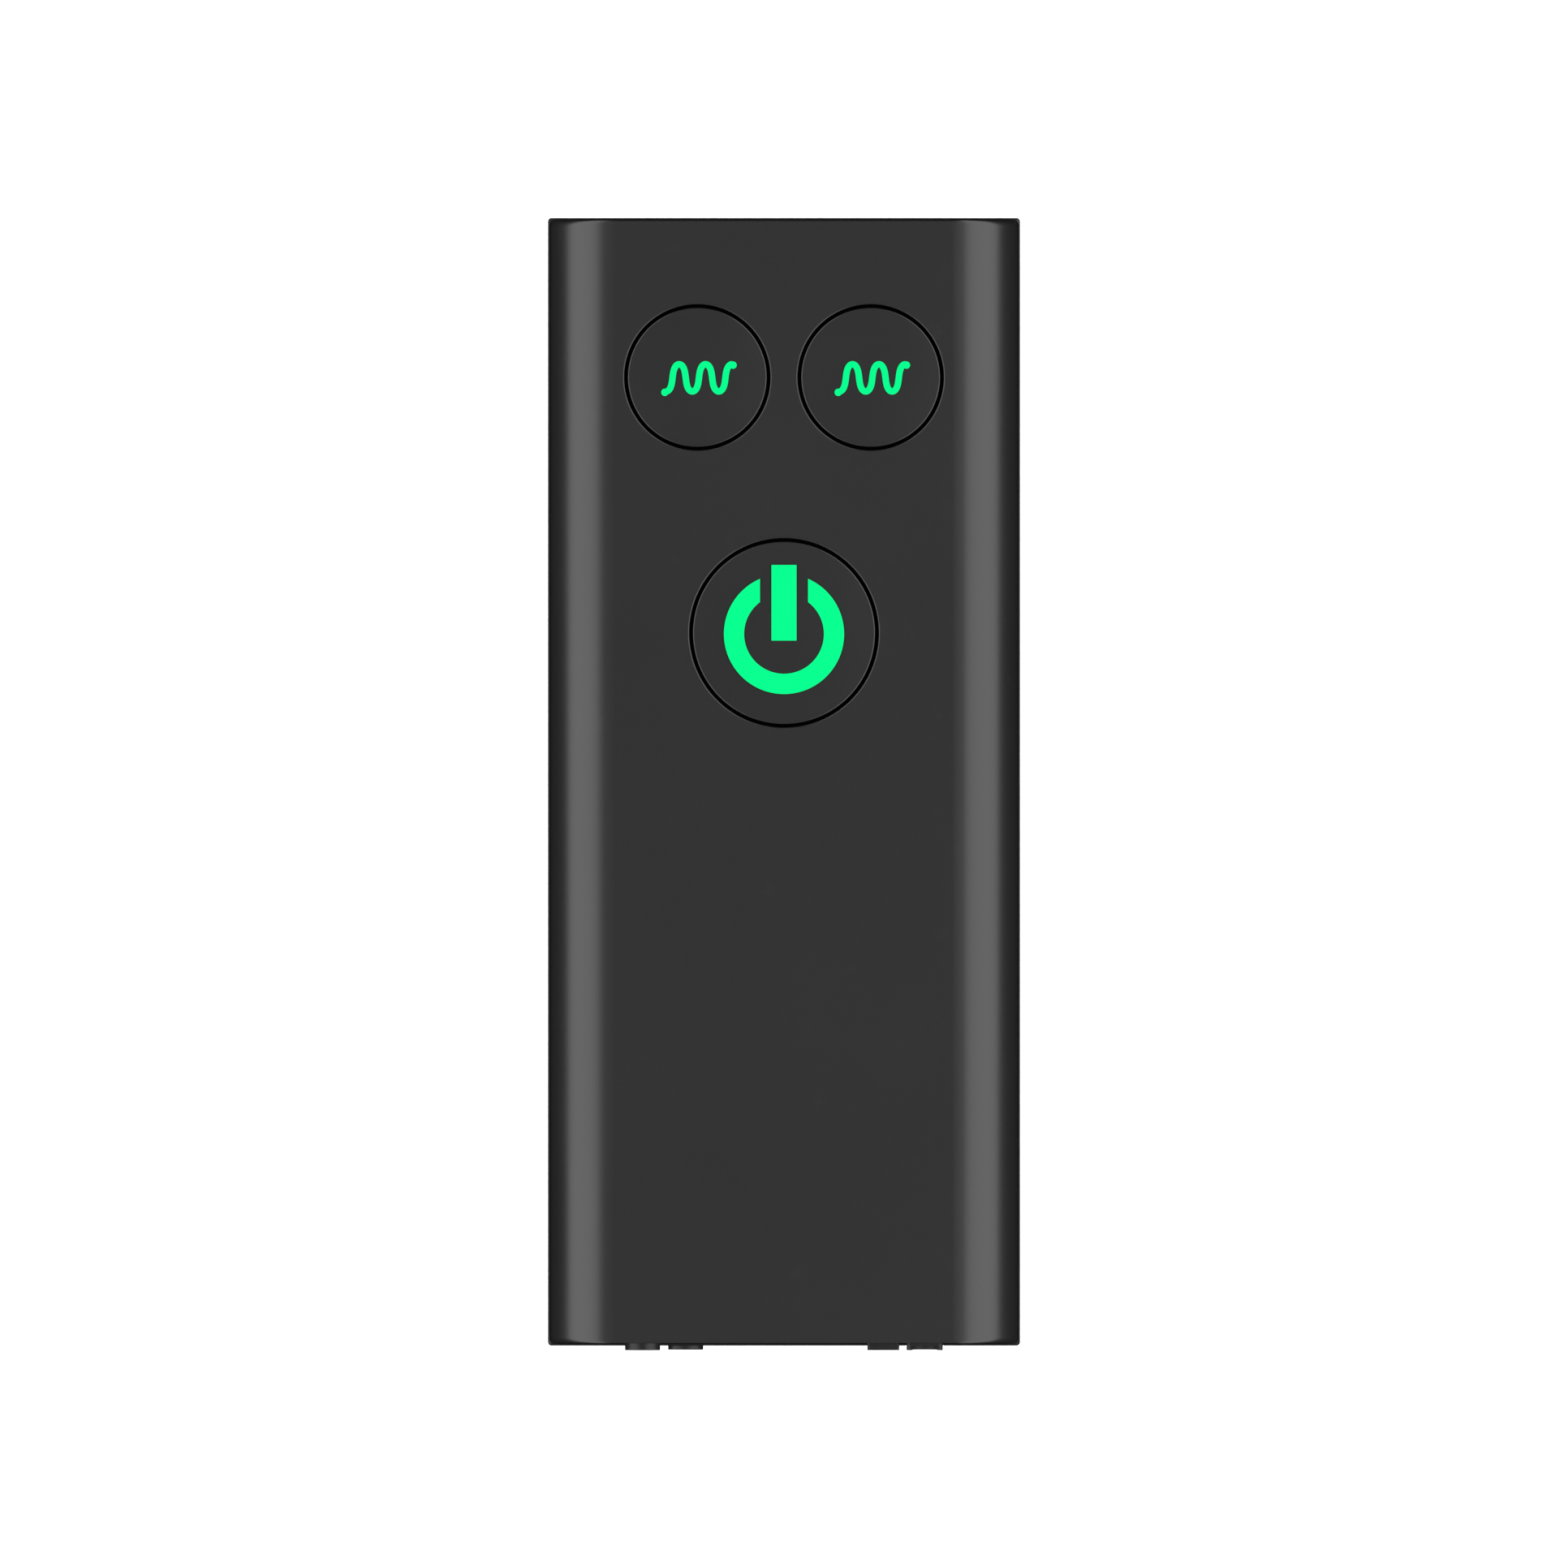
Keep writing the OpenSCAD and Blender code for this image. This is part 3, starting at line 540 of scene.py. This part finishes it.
def end_tool(name, half_a, half_b, corners, at, wall, edge=HOLE_EDGE, steps=8):
    """A tool that goes through the end wall along -Y, flared at the wall's outside to round the rim."""
    flare = bend(-edge, wall - edge, edge, 180, 96)
    path = stations((0, wall - END_DEEP), flare, (flare[-1, 0], wall + CLEAR))
    return stack(name, half_a, half_b, corners, path, at=(at[0], 0, at[1]), end_on=True, steps=steps)


def jack_tool(jack, wall):
    """The hole for an audio socket's nose."""
    r = NOSE_R + FIT
    return end_tool(jack + "_hole", r, r, r, jack_axis(jack), wall)


def bezel_tool(name, wall):
    """The opening for the charging socket's collar, half of which is in each shell."""
    c = middle("usb_bezel")
    return end_tool(name, BEZEL[0] + FIT, BEZEL[1] + FIT, BEZEL_CORNER, (c[0], PART_Z), wall, BEZEL_EDGE)


def slider_tool(wall):
    """The slot that the slider runs in: the knob's outline, its travel towards -X, and a little play."""
    return end_tool("slider_slot", KNOB[0] + SLOT_TRAVEL / 2 + SLOT_PLAY, KNOB[1] + SLOT_PLAY, SLOT_CORNER,
                    (knob_at[0] - SLOT_TRAVEL / 2, knob_at[1]), wall)


def foot_recess(side):
    """The recess of a foot strip in the rear shell."""
    path = stations((0, -1), (0, foot_high[2]))
    return stack("foot_recess", FOOT[0] + FIT, FOOT[1] + FIT, FOOT[1] + FIT, path, at=(0, side * FOOT_Y, 0))


front = slab("front_skin", front_high[0], front_high[1], PART_Z, FACE_Z, EDGE_R,
             side_r=FRONT_CORNER, end_r=FRONT_END_R)
cut(front,
    slab("hollow", front_high[0] - FRONT_WALL, front_high[1] - FRONT_WALL, PART_Z - 1, FACE_Z - FRONT_WALL,
         EDGE_R - FRONT_WALL),
    *(hole_tool(b) for b in BUTTONS),
    jack_tool("headphone", front_high[1]),
    bezel_tool("front_bezel_hole", front_high[1]),
    slider_tool(front_high[1]))
rear = slab("rear_skin", rear_high[0], rear_high[1], rear_high[2], rear_low[2], EDGE_R,
            side_r=REAR_CORNER, end_r=REAR_CORNER, lean=RIM_W - RIM_FLAT)
cut(rear,
    slab("hollow", rear_high[0] - REAR_WALL, rear_high[1] - REAR_WALL, FACE_Z, rear_low[2] + FRONT_WALL,
         EDGE_R - REAR_WALL),
    stack("ledge", rear_high[0] - RIM_W, rear_high[1] - RIM_W, FRONT_CORNER,
          stations((0, PART_Z), (0, FACE_Z))),
    *(foot_recess(side) for side in (-1, 1)),
    jack_tool("line", rear_high[1]),
    bezel_tool("rear_bezel_hole", rear_high[1]))

# ---------------------------------------------------------------- buttons


def cap_top(button):
    """The height of the middle of a cap, just below its lit mark."""
    return box(button + "_cap")[1][2] - MARK_PROUD


def cap(button):
    """A cup turned round its axis: its plate is a shallow crown, top - crown (rho / r) squared, whose edge is
    rounded into a straight wall with a flange below. The lit mark's prism is cut out of the plate."""
    name = button + "_cap"
    low, high = box(name)
    at, r, top = cap_at[button], cap_r[button], cap_top(button)
    rho = np.linspace(r - CAP_EDGE, 0, 12)
    crown = np.stack([r - rho, top - CROWN * (rho / r) ** 2], -1)
    tilt = math.degrees(math.atan(2 * CROWN / r))
    under = high[2] - CAP_PLATE + MARK_PROUD
    path = stations((r, under), (CAP_WALL, under), (CAP_WALL, low[2]), (-FLANGE_W, low[2]),
                    (-FLANGE_W, low[2] + FLANGE_H), (0, low[2] + FLANGE_H),
                    bend(CAP_EDGE, crown[0, 1] - CAP_EDGE, CAP_EDGE, 0, 90 - tilt), crown[1:])
    made = turned(name + "_turned", r, path, at=(at[0], at[1], 0), steps=32)
    return cut(made, copy_of(button + "_light_guide"))


def read(things, what, size, kind=float):
    """One property of every item of a mesh list, as rows of the given size."""
    values = np.zeros(len(things) * size, kind)
    things.foreach_get(what, values)
    return values.reshape(-1, size)


def set_crown_normals(thing, at, r, top):
    """Points the normals of a crown's corners along its own slope, (2 CROWN x / r^2, 2 CROWN y / r^2, 1)."""
    mesh = thing.data
    normals = read(mesh.corner_normals, "vector", 3)
    corner_vertex = read(mesh.loops, "vertex_index", 1, int)[:, 0]
    point = read(mesh.vertices, "co", 3)[corner_vertex] - (at[0], at[1], 0)
    slope = 2 * CROWN / r ** 2
    ideal = np.stack([slope * point[:, 0], slope * point[:, 1], np.ones(len(point))], -1)
    ideal /= np.linalg.norm(ideal, axis=1, keepdims=True)
    faces_up = read(mesh.polygons, "normal", 3)[:, 2] > 0.98
    near = 0.01
    on_crown = (np.repeat(faces_up, read(mesh.polygons, "loop_total", 1, int)[:, 0])
                & (point[:, 2] > top - CROWN - near)
                & (np.hypot(point[:, 0], point[:, 1]) < r - CAP_EDGE + near))
    mesh.normals_split_custom_set(np.where(on_crown[:, None], ideal, normals).tolist())


def return_pad(button):
    """A bellows ring: a closed strip of even thickness, turned round the button's axis, whose web swings out
    and in by a sine between the foot ring on the board and the head ring under the flange."""
    low, high = box(button + "_return_pad")
    at, r = cap_at[button], cap_r[button]
    foot_z, head_z = low[2] + PAD_FOOT_H, high[2] - PAD_HEAD_H
    t = np.linspace(0, 1, 9)
    web = WEB_START - WEB_LEAN * t + WEB_SWING * np.sin(2 * math.pi * t)
    web_z = foot_z + t * (head_z - foot_z)
    outer = np.stack([web, web_z], -1)
    inner = np.stack([web + WEB_T, web_z], -1)[::-1]
    path = stations((PAD_FOOT[0], low[2]), (PAD_FOOT[1], low[2]), (PAD_FOOT[1], foot_z), outer,
                    (-PAD_HEAD, head_z), (-PAD_HEAD, high[2]), (PAD_HEAD, high[2]),
                    (PAD_HEAD, head_z), inner, (PAD_FOOT[0], foot_z))
    return turned(button + "_bellows", r, path, at=(at[0], at[1], 0), closed=True)


# ---------------------------------------------------------------- feet, sockets, collar and slider


def foot_strips():
    """Two long strips with round ends, their lower edge rounded, set in the rear shell."""
    path = stations(bend(FOOT_EDGE, FOOT_EDGE, FOOT_EDGE, -90, 0), (0, foot_high[2]))
    return loft("feet", *(inset_rings(FOOT[0], FOOT[1], FOOT[1], path, (0, side * FOOT_Y, 0), steps=16)
                          for side in (-1, 1)))


def audio_socket(name):
    """A block whose front closes in to a round nose: square rings, then round rings out along -Y, over the
    rounded lip, down the bore's countersink and back along the bore to its end."""
    low, high = box(name + "_socket")
    x, z = jack_axis(name)
    c, h = (low + high) / 2, (high - low) / 2
    steps = 12
    shoulder = END_Y - NOSE_L
    body = stations((BLOCK_EDGE, -high[1]), (0, -high[1] - BLOCK_EDGE), (0, shoulder - BLOCK_EDGE),
                    (BLOCK_EDGE, shoulder))
    block_rings = inset_rings(h[0], h[2], BLOCK_CORNER, body, (c[0], 0, c[2]), True, steps)
    bore = NOSE_R - BORE_R
    nose = stations((0, shoulder), bend(NOSE_LIP, END_Y - NOSE_LIP, NOSE_LIP, 0, 90),
                    (bore - COUNTERSINK, END_Y), (bore, END_Y - COUNTERSINK), (bore, END_Y - BORE_L))
    nose_rings = inset_rings(NOSE_R, NOSE_R, NOSE_R, nose, (x, 0, z), True, steps)
    made = loft(name + "_moulding", np.concatenate([block_rings, nose_rings]))
    middles = [np.array([c[0] + side * WINDOW_X, y, z]) for y in WINDOW_Y for side in (-1, 1)]
    return cut(made, *(block("window", at - WINDOW_HALF, at + WINDOW_HALF) for at in middles))


def collar():
    """The charging socket's collar: a tube of rounded rectangles out along -Y, from the flange behind the
    wall to a rounded lip and back in through the slot, with the notch cut into its forward side."""
    low, high = box("usb_bezel")
    x = (low[0] + high[0]) / 2
    at = (x, 0, PART_Z)
    back, step = -high[1], -high[1] + BEZEL_FLANGE_L
    steps = 8
    flange = inset_rings(*BEZEL_FLANGE, BEZEL_FLANGE_CORNER, stations((0, back), (0, step)), at, True, steps)
    neck_path = stations((0, step), bend(BEZEL_LIP, END_Y - BEZEL_LIP, BEZEL_LIP, 0, 90))
    neck = inset_rings(*BEZEL, BEZEL_CORNER, neck_path, at, True, steps)
    slot_path = stations((-BEZEL_SINK, END_Y), (0, END_Y - BEZEL_SINK), (0, back))
    slot = inset_rings(*BEZEL_SLOT, BEZEL_SLOT[0], slot_path, at, True, steps)
    made = loft("usb_collar", np.concatenate([flange, neck, slot]), closed=True)
    return cut(made, block("notch", (x - BEZEL_SLOT[0], -END_Y - 1, PART_Z + NOTCH_Z[0]),
                           (x + BEZEL_SLOT[0], NOTCH_Y, PART_Z + NOTCH_Z[1])))


def slider():
    """The slider: a rounded block out along -Y through its slot, with four finger grooves across its end and
    a retaining plate behind the wall. A slot in its back takes the switch's lever."""
    x, z = knob_at
    wall_in = front_high[1] - FRONT_WALL
    path = stations((0, wall_in - KNOB_BACK), bend(KNOB_LIP, END_Y - KNOB_LIP, KNOB_LIP, 0, 90))
    made = stack("slider_knob", *KNOB, KNOB_CORNER, path, (x, 0, z), end_on=True, steps=8)
    groove = stations((0, -GROOVE_HALF), (0, GROOVE_HALF))
    cut(made, *(turned("groove", GROOVE_R, groove, (x + i * GROOVE_PITCH, -END_Y - GROOVE_OUT, z), steps=4)
                for i in (-1.5, -0.5, 0.5, 1.5)))
    c, h = (knob_low + knob_high) / 2, (knob_high - knob_low) / 2
    plate_path = stations((0, wall_in - PLATE_Y[0]), (0, wall_in - PLATE_Y[1]))
    plate = stack("plate", h[0], h[2], PLATE_CORNER, plate_path, (c[0], 0, c[2]), end_on=True, steps=8)
    cut(made, plate, operation="UNION")
    return cut(made, block("lever_slot", (x - LEVER_HALF[0], LEVER_Y[0], z - LEVER_HALF[1]),
                           (x + LEVER_HALF[0], LEVER_Y[1], z + LEVER_HALF[1])))


# ---------------------------------------------------------------- room, light and camera

# In metres, and the sensor in millimetres. The camera hangs over the middle, a hair towards the connectors.
CAMERA_UP = 8.0
CAMERA_Y = -0.31 * MM
VIEW_WIDTH = 0.22245
SENSOR = 36.0
STRIP_AWAY = 0.9
STRIP_LENGTH = 3.0


def lamp(name, at, size, radiance):
    """A rectangular soft light at a place, aimed at the origin, that the camera doesn't see."""
    data = bpy.data.lights.new(name, "AREA")
    data.shape = "RECTANGLE"
    data.size, data.size_y = size
    data.energy = radiance * size[0] * size[1] * math.pi
    made = bpy.data.objects.new(name, data)
    made.location = at
    made.rotation_euler = (-Vector(at)).to_track_quat("-Z", "Y").to_euler()
    made.visible_camera = False
    bpy.context.scene.collection.objects.link(made)
    return made


def strip(name, side, low, high, radiance):
    """A long soft light beside the case whose height runs between two angles above the table."""
    mid = math.radians((low + high) / 2)
    wide = 2 * STRIP_AWAY * math.tan(math.radians((high - low) / 2))
    at = (side * STRIP_AWAY * math.cos(mid), 0, STRIP_AWAY * math.sin(mid))
    return lamp(name, at, (STRIP_LENGTH, wide), radiance)


strip("left_strip", -1, 0, 61, 2.7)
strip("right_strip", 1, 3, 67, 2.65)
lamp("end_fill", (0, -1.6, 0.25), (1.4, 0.45), 1.1)
lamp("overhead", (0, 0, 2.2), (1.6, 1.6), 0.22)

world = bpy.data.worlds.new("room")
world.use_nodes = True
backdrop = world.node_tree.nodes["Background"].inputs
backdrop["Color"].default_value = (1, 1, 1, 1)
backdrop["Strength"].default_value = 1.0
world.cycles_visibility.diffuse = False
world.cycles_visibility.glossy = False
bpy.context.scene.world = world

# Matt white board that is lit to pure white, and that doesn't tint the case from below.
white_board = finish("white_board", "#F4F4F4", "#FAFAFA", 60, (0.8, 0.9), 2, 0.02,
                     **{"Emission Color": linear("#FFFFFF"), "Emission Strength": 1.0})
table = loft("table", rings_up(outline((20, 20), 20, 1, 4), (-0.02, 0)))
wear_finish(table, white_board)
table.visible_diffuse = False
table.visible_glossy = False

eye = bpy.data.cameras.new("camera")
eye.sensor_width = SENSOR
eye.lens = SENSOR * (CAMERA_UP - PART_Z * MM) / VIEW_WIDTH
eye.clip_start, eye.clip_end = 1, 40
eye_at = bpy.data.objects.new("camera", eye)
eye_at.location = (0, CAMERA_Y, CAMERA_UP)
bpy.context.scene.collection.objects.link(eye_at)
bpy.context.scene.camera = eye_at
bpy.context.scene.view_settings.view_transform = "Standard"

# ---------------------------------------------------------------- the pieces, in place of their CAD parts

piece(smooth(front), "case", "case_plastic", moulded_abs, "front_shell")
piece(smooth(rear), "case", "case_plastic", moulded_abs, "rear_shell")
piece(smooth(foot_strips()), "case", "strip_rubber", foot_rubber, "foot_strips")
for jack in JACKS:
    piece(smooth(audio_socket(jack)), "case", "socket_plastic", black_nylon, jack + "_socket")
piece(smooth(collar()), "case", "socket_plastic", black_nylon, "usb_bezel")
piece(smooth(slider()), "slider", "socket_plastic", black_nylon, "slide_knob")
for button in BUTTONS:
    shaped = smooth(cap(button))
    set_crown_normals(shaped, cap_at[button], cap_r[button], cap_top(button))
    piece(shaped, button + "_button", "cap_plastic", cap_abs, button + "_cap")
    pad = piece(smooth(return_pad(button)), "case", "pad_silicone", pad_silicone, button + "_return_pad")
    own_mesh(pad)
